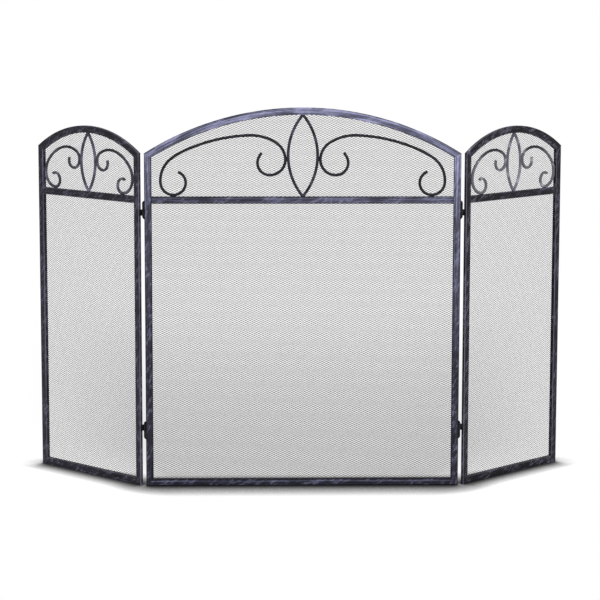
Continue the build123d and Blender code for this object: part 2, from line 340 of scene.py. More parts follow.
class Groups:
    """The effects that several finishes share, each built once."""

    low_detail: float = 2.0
    high_detail: float = 3.0

    def __init__(self) -> None:
        """Build every group."""
        self.brush = BrushTexture()
        self.forged = SkinTexture()
        self.dry_brush = self.build_dry_brush()
        self.corner_line = self.build_corner_line()
        self.forged_skin = self.build_forged_skin()

    @staticmethod
    def start(name: str, inputs: dict[str, str], outputs: dict[str, str]) -> tuple[Graph, bpy.types.Node]:
        """Begin a group.

        Args:
            name: The group's name.
            inputs: Socket kinds by input name.
            outputs: Socket kinds by output name.

        Returns:
            The graph and its input node.
        """
        tree = bpy.data.node_groups.new(name, "ShaderNodeTree")
        for label, kind in inputs.items():
            tree.interface.new_socket(label, in_out="INPUT", socket_type="NodeSocket" + kind)
        for label, kind in outputs.items():
            tree.interface.new_socket(label, in_out="OUTPUT", socket_type="NodeSocket" + kind)
        graph = Graph(tree)
        return graph, graph.add("NodeGroupInput")

    def build_dry_brush(self) -> bpy.types.NodeTree:
        """Streaks of a lighter paint along the bar, in patches, with a fine grain; the cover and edge inputs
        also carry painted light and shade.
        """
        inputs = {name: "Float" for name in ("Pewter And Light", "Fleck", "Corner Wear And Light")}
        inputs |= {"Vector": "Vector", "Dark": "Color", "Light": "Color"}
        outputs = {"Color": "Color", "Roughness": "Float", "Height": "Float"}
        graph, given = self.start("dry_brush", inputs, outputs)
        look, vector = self.brush, given.outputs["Vector"]
        streak = graph.noise(graph.scaled(vector, look.streak_waves), 1.0, self.low_detail)
        patch = graph.noise(graph.scaled(vector, look.patch_waves), 1.0, self.high_detail)
        turn = {"Vector": vector, "Angle": look.fleck_angle}
        slanted = graph.add("VectorRotate", turn, rotation_type="Z_AXIS").outputs[0]
        fleck = graph.noise(graph.scaled(slanted, look.fleck_waves), 1.0, self.low_detail)
        grain = graph.noise(vector, look.grain_waves, self.low_detail)
        lines = graph.ramp(streak, *look.streak_cover)
        worn = graph.math("MULTIPLY", lines, graph.ramp(patch, *look.patch_cover))
        brushed_pewter_and_light = graph.math("MULTIPLY", worn, given.outputs["Pewter And Light"])
        patches = graph.ramp(patch, *look.fleck_patches)
        strokes = graph.math("MULTIPLY", graph.ramp(fleck, *look.fleck_cover), patches)
        flecked = graph.math("MULTIPLY_ADD", strokes, given.outputs["Fleck"], brushed_pewter_and_light)
        # Worn paint along the front corners together with a painted highlight there; negative values darken
        # the corners.
        corner_wear_and_light = graph.math("MULTIPLY", given.outputs["Corner Wear And Light"], graph.ramp(streak, *look.corner_wear_and_light_streaks))
        share = graph.math("ADD", flecked, corner_wear_and_light, clamp=True)
        colour = graph.mixed(share, given.outputs["Dark"], given.outputs["Light"])
        rough = graph.math("MULTIPLY_ADD", grain, look.grain_roughness, graph.ramp(share, *look.roughness))
        fine_relief = graph.math("MULTIPLY", grain, look.grain_relief)
        height = graph.math("MULTIPLY_ADD", streak, look.streak_relief, fine_relief)
        graph.add("NodeGroupOutput", {"Color": colour, "Roughness": rough, "Height": height})
        return graph.tree

    def build_corner_line(self) -> bpy.types.NodeTree:
        """A mask along the two front corners of a bar."""
        inputs = {name: "Float" for name in ("Across", "Depth", "Half Width", "Half Depth", "Reach")}
        graph, given = self.start("corner_line", inputs, {"Mask": "Float"})
        half_width, half_depth = given.outputs["Half Width"], given.outputs["Half Depth"]
        reach = given.outputs["Reach"]
        inward = graph.math("SUBTRACT", half_width, graph.math("ABSOLUTE", given.outputs["Across"]))
        rearward = graph.math("ADD", given.outputs["Depth"], half_depth)
        shares = [graph.math("DIVIDE", away, reach) for away in (inward, rearward)]
        near = [graph.ramp(share, *self.brush.corner_fade) for share in shares]
        graph.add("NodeGroupOutput", {"Mask": graph.math("MULTIPLY", *near)})
        return graph.tree

    def build_forged_skin(self) -> bpy.types.NodeTree:
        """Shallow dents and uneven paint of a forged surface."""
        inputs = {name: "Float" for name in ("Dent Scale", "Roughness", "Least Sheen", "Fade")}
        inputs |= {"Vector": "Vector", "Dark": "Color", "Light": "Color"}
        outputs = {"Color": "Color", "Roughness": "Float", "Height": "Float"}
        graph, given = self.start("forged_skin", inputs, outputs)
        look, vector = self.forged, given.outputs["Vector"]
        waves = {"Vector": vector, "Scale": given.outputs["Dent Scale"], "Detail": look.dent_detail}
        dents = graph.add("TexNoise", waves).outputs["Fac"]
        clouds = graph.noise(vector, look.cloud_waves, self.high_detail)
        grain = graph.noise(vector, look.grain_waves, self.low_detail)
        raised = graph.ramp(dents, *look.raised)
        patches = graph.math("MULTIPLY", raised, graph.ramp(clouds, *look.clouded))
        worn = graph.math("MAXIMUM", patches, given.outputs["Least Sheen"])
        share = graph.math("MULTIPLY", worn, given.outputs["Fade"])
        colour = graph.mixed(share, given.outputs["Dark"], given.outputs["Light"])
        uneven = graph.math("MULTIPLY_ADD", grain, look.grain_roughness, -look.grain_roughness / 2)
        rough = graph.math("ADD", given.outputs["Roughness"], uneven)
        fine_relief = graph.math("MULTIPLY", grain, look.grain_relief)
        height = graph.math("MULTIPLY_ADD", dents, look.dent_relief, fine_relief)
        graph.add("NodeGroupOutput", {"Color": colour, "Roughness": rough, "Height": height})
        return graph.tree


@dataclass(frozen=True)
class Panel:
    """One arched panel in its own frame: x across, y to the rear, z up, standing on the floor.

    Attributes:
        name: The start of its nodes' names.
        body: The body that it moves with.
        width: Whole width.
        rise: Height of the crown above the shoulders.
        origin: Where the panel's own frame stands at rest.
        turn: How far that frame is turned about z at rest.
        scroll_foot: How far from the panel's middle the scrolls touch the middle rail.
        lens_touch: Where, across and up, a scroll touches a lens rod.
        screws: Number of screws by strip.
    """

    name: str
    body: str
    width: float
    rise: float
    origin: Vector
    turn: float
    scroll_foot: float
    lens_touch: Span
    screws: dict[str, int]

    @property
    def half(self) -> float:
        """Half the panel's width."""
        return self.width / 2

    @property
    def top(self) -> float:
        """Height of the crown."""
        return SHOULDER_HEIGHT + self.rise

    @property
    def radius(self) -> float:
        """Outer radius of the arch."""
        return (self.half**2 + self.rise**2) / (2 * self.rise)

    @property
    def centre(self) -> float:
        """Height of the arch's centre."""
        return self.top - self.radius

    @property
    def place(self) -> Matrix:
        """From the panel's own frame to the object's."""
        return Matrix.Translation(self.origin) @ Matrix.Rotation(self.turn, 4, "Z")

    def head_height(self, inset: float, x: float) -> float:
        """Height of the head line, drawn in by inset, at x."""
        return self.centre + sqrt((self.radius - inset) ** 2 - x**2)


def wing(side: int) -> Panel:
    """The left (-1) or right (1) wing at rest."""
    word = "left_wing" if side < 0 else "right_wing"
    turn = Matrix.Rotation(side * REST_FOLD, 3, "Z")
    arm = Vector((side * (WING_WIDTH / 2 + PIN_SIDE_OFFSET), -PIN_Y, 0))
    origin = Vector((side * PIN_X, PIN_Y, 0)) + turn @ arm
    return Panel(
        name=word,
        body=word,
        width=WING_WIDTH,
        rise=WING_RISE,
        origin=origin,
        turn=side * REST_FOLD,
        scroll_foot=WING_SCROLL_FOOT,
        lens_touch=WING_LENS_TOUCH,
        screws=WING_SCREWS,
    )


def centre_panel() -> Panel:
    """The centre panel."""
    return Panel(
        name="centre",
        body="centre_panel",
        width=CENTRE_WIDTH,
        rise=CENTRE_RISE,
        origin=Vector(),
        turn=0.0,
        scroll_foot=CENTRE_SCROLL_FOOT,
        lens_touch=CENTRE_LENS_TOUCH,
        screws=CENTRE_SCREWS,
    )


def only(*objects: Piece) -> None:
    """Select these objects and no others; the first is active."""
    bpy.ops.object.select_all(action="DESELECT")
    for each in objects:
        each.select_set(True)
    bpy.context.view_layer.objects.active = objects[0]


def settle(piece: Piece, place: Matrix) -> None:
    """Move a piece's mesh by a matrix and leave its object at the origin."""
    only(piece)
    piece.matrix_world = place @ piece.matrix_world
    bpy.ops.object.transform_apply(location=True, rotation=True, scale=True)


def use_modifier(piece: Piece, kind: str, **settings: object) -> None:
    """Add a modifier and apply it."""
    only(piece)
    modifier = piece.modifiers.new(kind.lower(), kind)
    for name, value in settings.items():
        setattr(modifier, name, value)
    bpy.ops.object.modifier_apply(modifier=modifier.name)


def pick_faces(piece: Piece, chosen: np.ndarray) -> None:
    """Select the marked faces only, and go to edit mode."""
    only(piece)
    bpy.ops.object.mode_set(mode="EDIT")
    bpy.ops.mesh.select_mode(type="FACE")
    bpy.ops.mesh.select_all(action="DESELECT")
    bpy.ops.object.mode_set(mode="OBJECT")
    piece.data.polygons.foreach_set("select", chosen)
    bpy.ops.object.mode_set(mode="EDIT")


def face_values(piece: Piece, what: str) -> np.ndarray:
    """Each face's "center" or "normal" as rows of three."""
    values = np.zeros(len(piece.data.polygons) * 3, np.float32)
    piece.data.polygons.foreach_get(what, values)
    return values.reshape(-1, 3)


def spread(piece: Piece, places: list[Matrix], name: str) -> Piece:
    """Copy a piece to every place and join the copies.

    Args:
        piece: The piece at the origin, removed at the end.
        places: Where the copies go.
        name: The joined object's name.

    Returns:
        The joined object.
    """
    copies = []
    for place in places:
        copy = piece.copy()
        copy.data = piece.data.copy()
        bpy.context.collection.objects.link(copy)
        settle(copy, place)
        copies.append(copy)
    bpy.data.objects.remove(piece)
    only(*copies)
    bpy.ops.object.join()
    joined = bpy.context.object
    joined.name = name
    return joined


class Painter:
    """Makes the finishes and puts them on the pieces."""

    bar_shift: float = 0.71
    panel_shift: float = 2.3

    def __init__(self) -> None:
        """Build the shared groups."""
        self.groups = Groups()
        self.skins: dict[str, bpy.types.Material] = {}

    @staticmethod
    def begin(name: str) -> tuple[bpy.types.Material, Graph]:
        """A new material and its emptied graph."""
        material = bpy.data.materials.new(name)
        material.use_nodes = True
        return material, Graph(material.node_tree)

    @staticmethod
    def close(graph: Graph, paint: bpy.types.Node, bump: float, specular: float) -> None:
        """End a material: the paint group drives one Principled shader."""
        height = {"Height": paint.outputs["Height"], "Strength": bump, "Distance": BUMP_DISTANCE}
        normal = graph.add("Bump", height).outputs["Normal"]
        inputs = {
            "Base Color": paint.outputs["Color"],
            "Roughness": paint.outputs["Roughness"],
            "Specular IOR Level": specular,
            "Normal": normal,
        }
        shader = graph.add("BsdfPrincipled", inputs)
        graph.add("OutputMaterial", {"Surface": shader.outputs[0]})

    def skin(self, finish: ForgedSkin) -> bpy.types.Material:
        """The material of a forged finish, made once."""
        if finish.name in self.skins:
            return self.skins[finish.name]
        material, graph = self.begin(finish.name)
        where = graph.add("TexCoord").outputs["Object"]
        inputs = {
            "Vector": where,
            "Dent Scale": 1 / finish.dent,
            "Roughness": finish.roughness,
            "Least Sheen": finish.least_sheen,
            "Fade": 1.0,
            "Dark": (*finish.dark, 1),
            "Light": (*finish.light, 1),
        }
        # Painted shade on the tops: the light tone fades out upwards.
        if finish.crest_shade_heights:
            height = graph.add("SeparateXYZ", {"Vector": where}).outputs["Z"]
            inputs["Fade"] = graph.ramp(height, *finish.crest_shade_heights, 1.0, 0.0)
        paint = graph.add("Group", inputs, node_tree=self.groups.forged_skin)
        self.close(graph, paint, finish.bump, SKIN_GLOSS)
        self.skins[finish.name] = material
        return material

    def bar(self, panel: Panel, bar: Bar, paint: BarPaint) -> bpy.types.Material:
        """The material of one bar, brushed along its own length, with painted light and shade in the pewter's
        share.

        Args:
            panel: The panel that the bar belongs to.
            bar: Which bar.
            paint: Its paint.

        Returns:
            The material.
        """
        material, graph = self.begin(f"{panel.name}_{bar.value}_paint")
        where = graph.add("TexCoord").outputs["Object"]
        turned = {"Vector": where, "Location": panel.origin, "Rotation": (0, 0, panel.turn)}
        local = graph.add("Mapping", turned, vector_type="TEXTURE").outputs["Vector"]
        split = graph.add("SeparateXYZ", {"Vector": local})
        x, depth, z = split.outputs
        along, across = self.bar_lines(graph, panel, bar, x, z)
        shift = self.bar_shift * list(Bar).index(bar) + self.panel_shift * panel.origin.x
        shifted = graph.math("ADD", along, shift)
        line = graph.add("CombineXYZ", {"X": shifted, "Y": across, "Z": depth}).outputs["Vector"]
        section = {"Across": across, "Depth": depth, "Half Width": BAR_WIDTH / 2, "Half Depth": BAR_DEPTH / 2}
        section |= {"Reach": paint.edge_reach}
        corner = graph.add("Group", section, node_tree=self.groups.corner_line)
        # Corner lines: worn paint with a painted highlight, darker corners where negative.
        corner_wear_and_light = paint.stile_corner_wear_and_light if bar in STILES else paint.rail_corner_wear_and_light
        inputs = {
            "Vector": line,
            "Pewter And Light": self.pewter_and_light(graph, panel, bar, paint, x, z, across),
            "Fleck": paint.fleck,
            "Corner Wear And Light": graph.math("MULTIPLY", corner.outputs["Mask"], corner_wear_and_light),
            "Dark": (*paint.dark, 1),
            "Light": (*paint.light, 1),
        }
        brush = graph.add("Group", inputs, node_tree=self.groups.dry_brush)
        self.close(graph, brush, paint.bump, BAR_GLOSS)
        return material

    @staticmethod
    def pewter_and_light(
        graph: Graph, panel: Panel, bar: Bar, paint: BarPaint, x: Socket, z: Socket, across: Socket
    ) -> Socket:
        """The share of pewter on a bar, with painted light and shade laid into it.

        Args:
            graph: The material's graph.
            panel: The panel that the bar belongs to.
            bar: Which bar.
            paint: Its paint.
            x: The place across the panel.
            z: The height.
            across: The place across the bar.

        Returns:
            The share.
        """
        # Painted light: the share changes with height; on the centre panel the bars grow lighter towards the
        # top, as if lit from above.
        pewter_and_light = graph.ramp(z, paint.pewter_and_light_from, paint.pewter_and_light_to, paint.pewter_and_light_low, paint.pewter_and_light_high)
        # Painted highlight on the stiles, stronger on the right one, as if lit from the right.
        stile_highlight = dict(paint.stile_highlights).get(bar, 0.0)
        if stile_highlight:
            pewter_and_light = graph.math("ADD", pewter_and_light, graph.ramp(z, paint.stile_highlight_from, paint.pewter_and_light_from, 0.0, stile_highlight))
        # Painted highlight: a lighter line along the upper part of the bar.
        if bar is paint.highlight_line_bar:
            off = graph.math("ABSOLUTE", graph.math("SUBTRACT", across, paint.highlight_line_place))
            pewter_and_light = graph.math("ADD", pewter_and_light, graph.ramp(off, 0.0, paint.highlight_line_reach, paint.highlight_line_share, 0.0))
        # Painted light: the bar grows lighter towards its right end, as if lit from the right.
        if bar is paint.light_tilted_bar:
            pewter_and_light = graph.math("MULTIPLY", pewter_and_light, graph.math("MULTIPLY_ADD", x, paint.tilt / panel.half, 1.0))
        return pewter_and_light

    @staticmethod
    def bar_lines(graph: Graph, panel: Panel, bar: Bar, x: Socket, z: Socket) -> tuple[Socket, Socket]:
        """The places along and across a bar, in metres, from its middle line."""
        middle = panel.half - BAR_WIDTH / 2
        if bar is Bar.ARCH_RAIL:
            rise = graph.math("SUBTRACT", z, panel.centre)
            angle = graph.math("ARCTAN2", x, rise)
            reach = graph.math("SQRT", graph.math("MULTIPLY_ADD", x, x, graph.math("MULTIPLY", rise, rise)))
            arc = panel.radius - BAR_WIDTH / 2
            return graph.math("MULTIPLY", angle, arc), graph.math("SUBTRACT", reach, arc)
        if bar is Bar.LEFT_STILE:
            return z, graph.math("ADD", x, middle)
        if bar is Bar.RIGHT_STILE:
            return z, graph.math("SUBTRACT", x, middle)
        height = BAR_WIDTH / 2 if bar is Bar.BOTTOM_RAIL else MIDDLE_RAIL_TOP - BAR_WIDTH / 2
        return x, graph.math("SUBTRACT", z, height)

    @staticmethod
    def dress(piece: Piece, material: bpy.types.Material) -> None:
        """Give a piece one material."""
        piece.data.materials.clear()
        piece.data.materials.append(material)


@dataclass
class SparkMesh:
    """The fine expanded mesh of one panel: zigzag strands that meet at their knuckles."""

    panel: Panel
    long_pitch: float = 0.0085
    short_pitch: float = 0.00425
    strand_height: float = 0.00068
    strand_thickness: float = 0.0003
    lean: float = radians(20)
    knuckle_overlap: float = 0.05
    head_lap: float = 0.0032
    side_lap: float = 0.0052
    bottom_lap: float = 0.0045
    depth: float = BAR_DEPTH / 2 + SHEET_THICKNESS / 2
    merge_distance: float = 0.00001
    end_facing: float = 0.99

    @property
    def side_inset(self) -> float:
        """How far inside the panel's sides the mesh ends."""
        return BAR_WIDTH - self.side_lap

    @property
    def bottom(self) -> float:
        """Height where the mesh starts."""
        return BAR_WIDTH - self.bottom_lap

    @property
    def row_pitch(self) -> float:
        """Height from one strand to the next."""
        return self.short_pitch / 2

    @property
    def wave(self) -> float:
        """Rise of a strand from knuckle to knuckle."""
        section = self.strand_height * cos(self.lean) + self.strand_thickness * sin(self.lean)
        return self.row_pitch - section * (1 - self.knuckle_overlap)

    def build(self, name: str, low: float, high: float) -> Piece:
        """Model the mesh between two places across the panel.

        Args:
            name: The piece's name.
            low: Where the mesh starts, in the panel's own frame.
            high: Where it ends.

        Returns:
            The mesh in its place.
        """
        start = low - self.long_pitch
        strand = self.chevron(name, start)
        cells = ceil((high - low) / self.long_pitch) + 2
        rows = ceil((self.panel.top - self.bottom) / self.short_pitch)
        plain = {"use_relative_offset": False, "use_constant_offset": True}
        half_cell = (self.long_pitch / 2, 0, self.row_pitch)
        use_modifier(strand, "ARRAY", count=2, constant_offset_displace=half_cell, **plain)
        across = (self.long_pitch, 0, 0)
        joined = {"use_merge_vertices": True, "merge_threshold": self.merge_distance}
        use_modifier(strand, "ARRAY", count=cells, constant_offset_displace=across, **joined, **plain)
        use_modifier(strand, "ARRAY", count=rows, constant_offset_displace=(0, 0, self.short_pitch), **plain)
        self.trim(strand, low, high)
        settle(strand, self.panel.place)
        return strand

    def chevron(self, name: str, start: float) -> Piece:
        """One rising and one falling strand, open at both ends."""
        bpy.ops.object.select_all(action="DESELECT")
        bpy.ops.mesh.primitive_plane_add(size=1)
        strand = bpy.context.object
        strand.name = name
        section = Matrix.Diagonal((self.strand_height, self.strand_thickness, 1, 1))
        turned = Matrix.Rotation(self.lean, 4, "X") @ Matrix.Rotation(pi / 2, 4, "Y") @ section
        middle = self.strand_height / 2 + self.bottom
        settle(strand, Matrix.Translation((start, self.depth, middle)) @ turned)
        bpy.ops.object.mode_set(mode="EDIT")
        bpy.ops.mesh.select_all(action="SELECT")
        for rise in (self.wave, -self.wave):
            move = {"value": (self.long_pitch / 2, 0, rise)}
            bpy.ops.mesh.extrude_region_move(TRANSFORM_OT_translate=move)
        bpy.ops.mesh.select_all(action="SELECT")
        bpy.ops.mesh.normals_make_consistent(inside=False)
        bpy.ops.object.mode_set(mode="OBJECT")
        pick_faces(strand, np.abs(face_values(strand, "normal")[:, 0]) > self.end_facing)
        bpy.ops.mesh.delete(type="ONLY_FACE")
        bpy.ops.object.mode_set(mode="OBJECT")
        return strand

    def trim(self, strand: Piece, low: float, high: float) -> None:
        """Cut the strands to the panel's outline and close their ends."""
        middles = face_values(strand, "center")
        first = self.strand_height / 2 + self.bottom + self.wave / 2
        heights = first + np.round((middles[:, 2] - first) / self.row_pitch) * self.row_pitch
        head = self.panel.radius - (BAR_WIDTH - self.head_lap)
        reach = np.hypot(middles[:, 0], heights - self.panel.centre)
        above_arch = (heights > self.panel.centre) & (reach > head)
        outside = (middles[:, 0] < low) | (middles[:, 0] > high) | above_arch
        pick_faces(strand, outside)
        bpy.ops.mesh.delete(type="FACE")
        bpy.ops.mesh.select_mode(type="EDGE")
        bpy.ops.mesh.select_all(action="DESELECT")
        bpy.ops.mesh.select_non_manifold(
            use_wire=False, use_boundary=True, use_multi_face=False, use_non_contiguous=False, use_verts=False
        )
        bpy.ops.mesh.fill_holes(sides=4)
        bpy.ops.mesh.select_all(action="SELECT")
        bpy.ops.mesh.normals_make_consistent(inside=False)
        bpy.ops.object.mode_set(mode="OBJECT")


@dataclass
class WeldBeads:
    """Small lumpy welds where rods, staples and eyes meet the bars of one panel."""

    panel: Panel
    seed: int = 7
    lump: float = 0.10
    lens_foot: Point = (0.0050, 0.0026, 0.0020)
    lens_foot_lift: float = 0.0013
    lens_head: Point = (0.0038, 0.0026, 0.0022)
    lens_head_drop: float = 0.0019
    scroll_foot: Point = (0.0050, 0.0027, 0.0017)
    scroll_foot_lift: float = 0.0007
    lens_side: Point = (0.0016, 0.0023, 0.0044)
    staple_end: Point = (0.0022, 0.0022, 0.0029)
    eye_end: Point = (0.0009, 0.0024, 0.0009)
    eye_out: float = 0.0002
    eye_rear: float = 0.0002

    def spots(self) -> list[tuple[Point, Point]]:
        """Centre and half lengths of each bead, in the panel's own frame."""
        foot, (touch_x, touch_z) = self.panel.scroll_foot, self.panel.lens_touch
        under_arch = self.panel.top - BAR_WIDTH
        found = [
            ((0, 0, MIDDLE_RAIL_TOP + self.lens_foot_lift), self.lens_foot),
            ((0, 0, under_arch - self.lens_head_drop), self.lens_head),
        ]
        for side in (-1, 1):
            found.append(((side * foot, 0, MIDDLE_RAIL_TOP + self.scroll_foot_lift), self.scroll_foot))
            found.append(((side * touch_x, 0, touch_z), self.lens_side))
        return found + (self.staple_spots() if self.panel.turn == 0 else self.eye_spots())

    def staple_spots(self) -> list[tuple[Point, Point]]:
        """The welds of the hinge staples on the centre stiles."""
        found = []
        for side in (-1, 1):
            for bottom in STAPLE_BOTTOMS:
                for height in (bottom + PIN_RADIUS, bottom + STAPLE_HEIGHT - PIN_RADIUS):
                    found.append(((side * CENTRE_WIDTH / 2, BAR_DEPTH / 2, height), self.staple_end))
        return found

    def eye_spots(self) -> list[tuple[Point, Point]]:
        """The welds along the tails of the hinge eyes on a wing stile."""
        side = -1 if self.panel.turn > 0 else 1
        x = side * (self.panel.half + self.eye_out)
        found = []
        for bottom in EYE_BOTTOMS:
            for height in (bottom, bottom + EYE_HEIGHT):
                found.append(((x, self.eye_rear, height), self.eye_end))
        return found

    def build(self) -> Piece:
        """Model one bead, copy it to every spot and join the copies."""
        bpy.ops.object.select_all(action="DESELECT")
        bpy.ops.mesh.primitive_uv_sphere_add(segments=12, ring_count=8, radius=1)
        bead = bpy.context.object
        bpy.ops.object.mode_set(mode="EDIT")
        bpy.ops.mesh.select_all(action="SELECT")
        bpy.ops.transform.vertex_random(offset=self.lump, seed=self.seed)
        bpy.ops.object.mode_set(mode="OBJECT")
        use_modifier(bead, "SUBSURF", levels=1, render_levels=1)
        places = [
            self.panel.place @ Matrix.Translation(middle) @ Matrix.Diagonal((*half_lengths, 1))
            for middle, half_lengths in self.spots()
        ]
        joined = spread(bead, places, f"{self.panel.name}_weld_beads")
        bpy.ops.object.shade_smooth()
        return joined


@dataclass
class ScrewHeads:
    """The cross-slotted screws that hold the strips behind one panel."""

    panel: Panel
    head_radius: float = 0.0022
    head_height: float = 0.0011
    shank_radius: float = 0.00125
    shank_length: float = 0.0055
    slot_width: float = 0.0005
    slot_depth: float = 0.0006
    slot_share: float = 1.3
    head_corners: int = 20
    head_rounding: float = 0.0007
    rounding_steps: int = 3
    end_facing: float = 0.9
    spin: float = 1.9
    smooth_angle: float = radians(35)

    def places(self) -> list[tuple[float, float]]:
        """Screw centres along the middle of each strip, in the panel's own frame."""
        inset = BAR_WIDTH - STRIP_WIDTH / 2
        counts = self.panel.screws
        side_x = self.panel.half - inset
        side_top = self.panel.head_height(inset, side_x)
        found = []
        for k in range(counts["side"]):
            height = side_top * (k + 0.5) / counts["side"]
            found += [(-side_x, height), (side_x, height)]
        for strip, height in (("bottom", inset), ("middle", MIDDLE_RAIL_TOP - BAR_WIDTH / 2)):
            step = 2 * side_x / counts[strip]
            found += [(-side_x + step * (k + 0.5), height) for k in range(counts[strip])]
        step = 2 * side_x / counts["arch"]
        for k in range(counts["arch"]):
            x = -side_x + step * (k + 0.5)
            found.append((x, self.panel.head_height(inset, x)))
        return found

    def one(self) -> Piece:
        """Model one screw at the origin, its head towards +Y."""
        bpy.ops.object.select_all(action="DESELECT")
        round_bar = {"vertices": self.head_corners, "radius": self.head_radius, "depth": self.head_height}
        bpy.ops.mesh.primitive_cylinder_add(**round_bar)
        head = bpy.context.object
        settle(head, Matrix.Translation((0, 0, self.head_height / 2)))
        pick_faces(head, face_values(head, "normal")[:, 2] > self.end_facing)
        bpy.ops.mesh.bevel(offset=self.head_rounding, segments=self.rounding_steps, affect="EDGES")
        bpy.ops.object.mode_set(mode="OBJECT")
        pick_faces(head, face_values(head, "normal")[:, 2] < -self.end_facing)
        bpy.ops.mesh.inset(thickness=self.head_radius - self.shank_radius)
        bpy.ops.mesh.extrude_region_move(TRANSFORM_OT_translate={"value": (0, 0, -self.shank_length)})
        bpy.ops.object.mode_set(mode="OBJECT")
        for turn in (0, pi / 2):
            self.cut_slot(head, turn)
        settle(head, Matrix.Rotation(-pi / 2, 4, "X"))
        return head

    def cut_slot(self, head: Piece, turn: float) -> None:
        """Cut one arm of the cross into the head."""
        bpy.ops.object.select_all(action="DESELECT")
        bpy.ops.mesh.primitive_cube_add(size=1)
        cutter = bpy.context.object
        size = Matrix.Diagonal((self.head_radius * self.slot_share, self.slot_width, 2 * self.slot_depth, 1))
        settle(cutter, Matrix.Translation((0, 0, self.head_height)) @ Matrix.Rotation(turn, 4, "Z") @ size)
        use_modifier(head, "BOOLEAN", object=cutter, operation="DIFFERENCE", solver="EXACT")
        bpy.data.objects.remove(cutter)

    def build(self) -> Piece:
        """Model one screw, copy it to every place and join the copies."""
        places = []
        for k, (x, z) in enumerate(self.places()):
            turned = Matrix.Translation((x, STRIP_REAR, z)) @ Matrix.Rotation(self.spin * k, 4, "Y")
            places.append(self.panel.place @ turned)
        joined = spread(self.one(), places, f"{self.panel.name}_strip_screws")
        bpy.ops.object.shade_smooth_by_angle(angle=self.smooth_angle)
        return joined


@dataclass(frozen=True)
class Lamp:
    """One soft rectangular lamp."""

    name: str
    place: Point
    aim: Point
    size: Span
    watts: float


OVERHEAD_LAMP = Lamp("overhead_lamp", (0.0, 0.20, 2.3), (0.0, 0.20, 0.0), (1.8, 0.40), 38)
FRONT_LAMP = Lamp("front_lamp", (0.7, -3.0, 1.3), (0.0, 0.0, 0.45), (2.0, 1.2), 45)


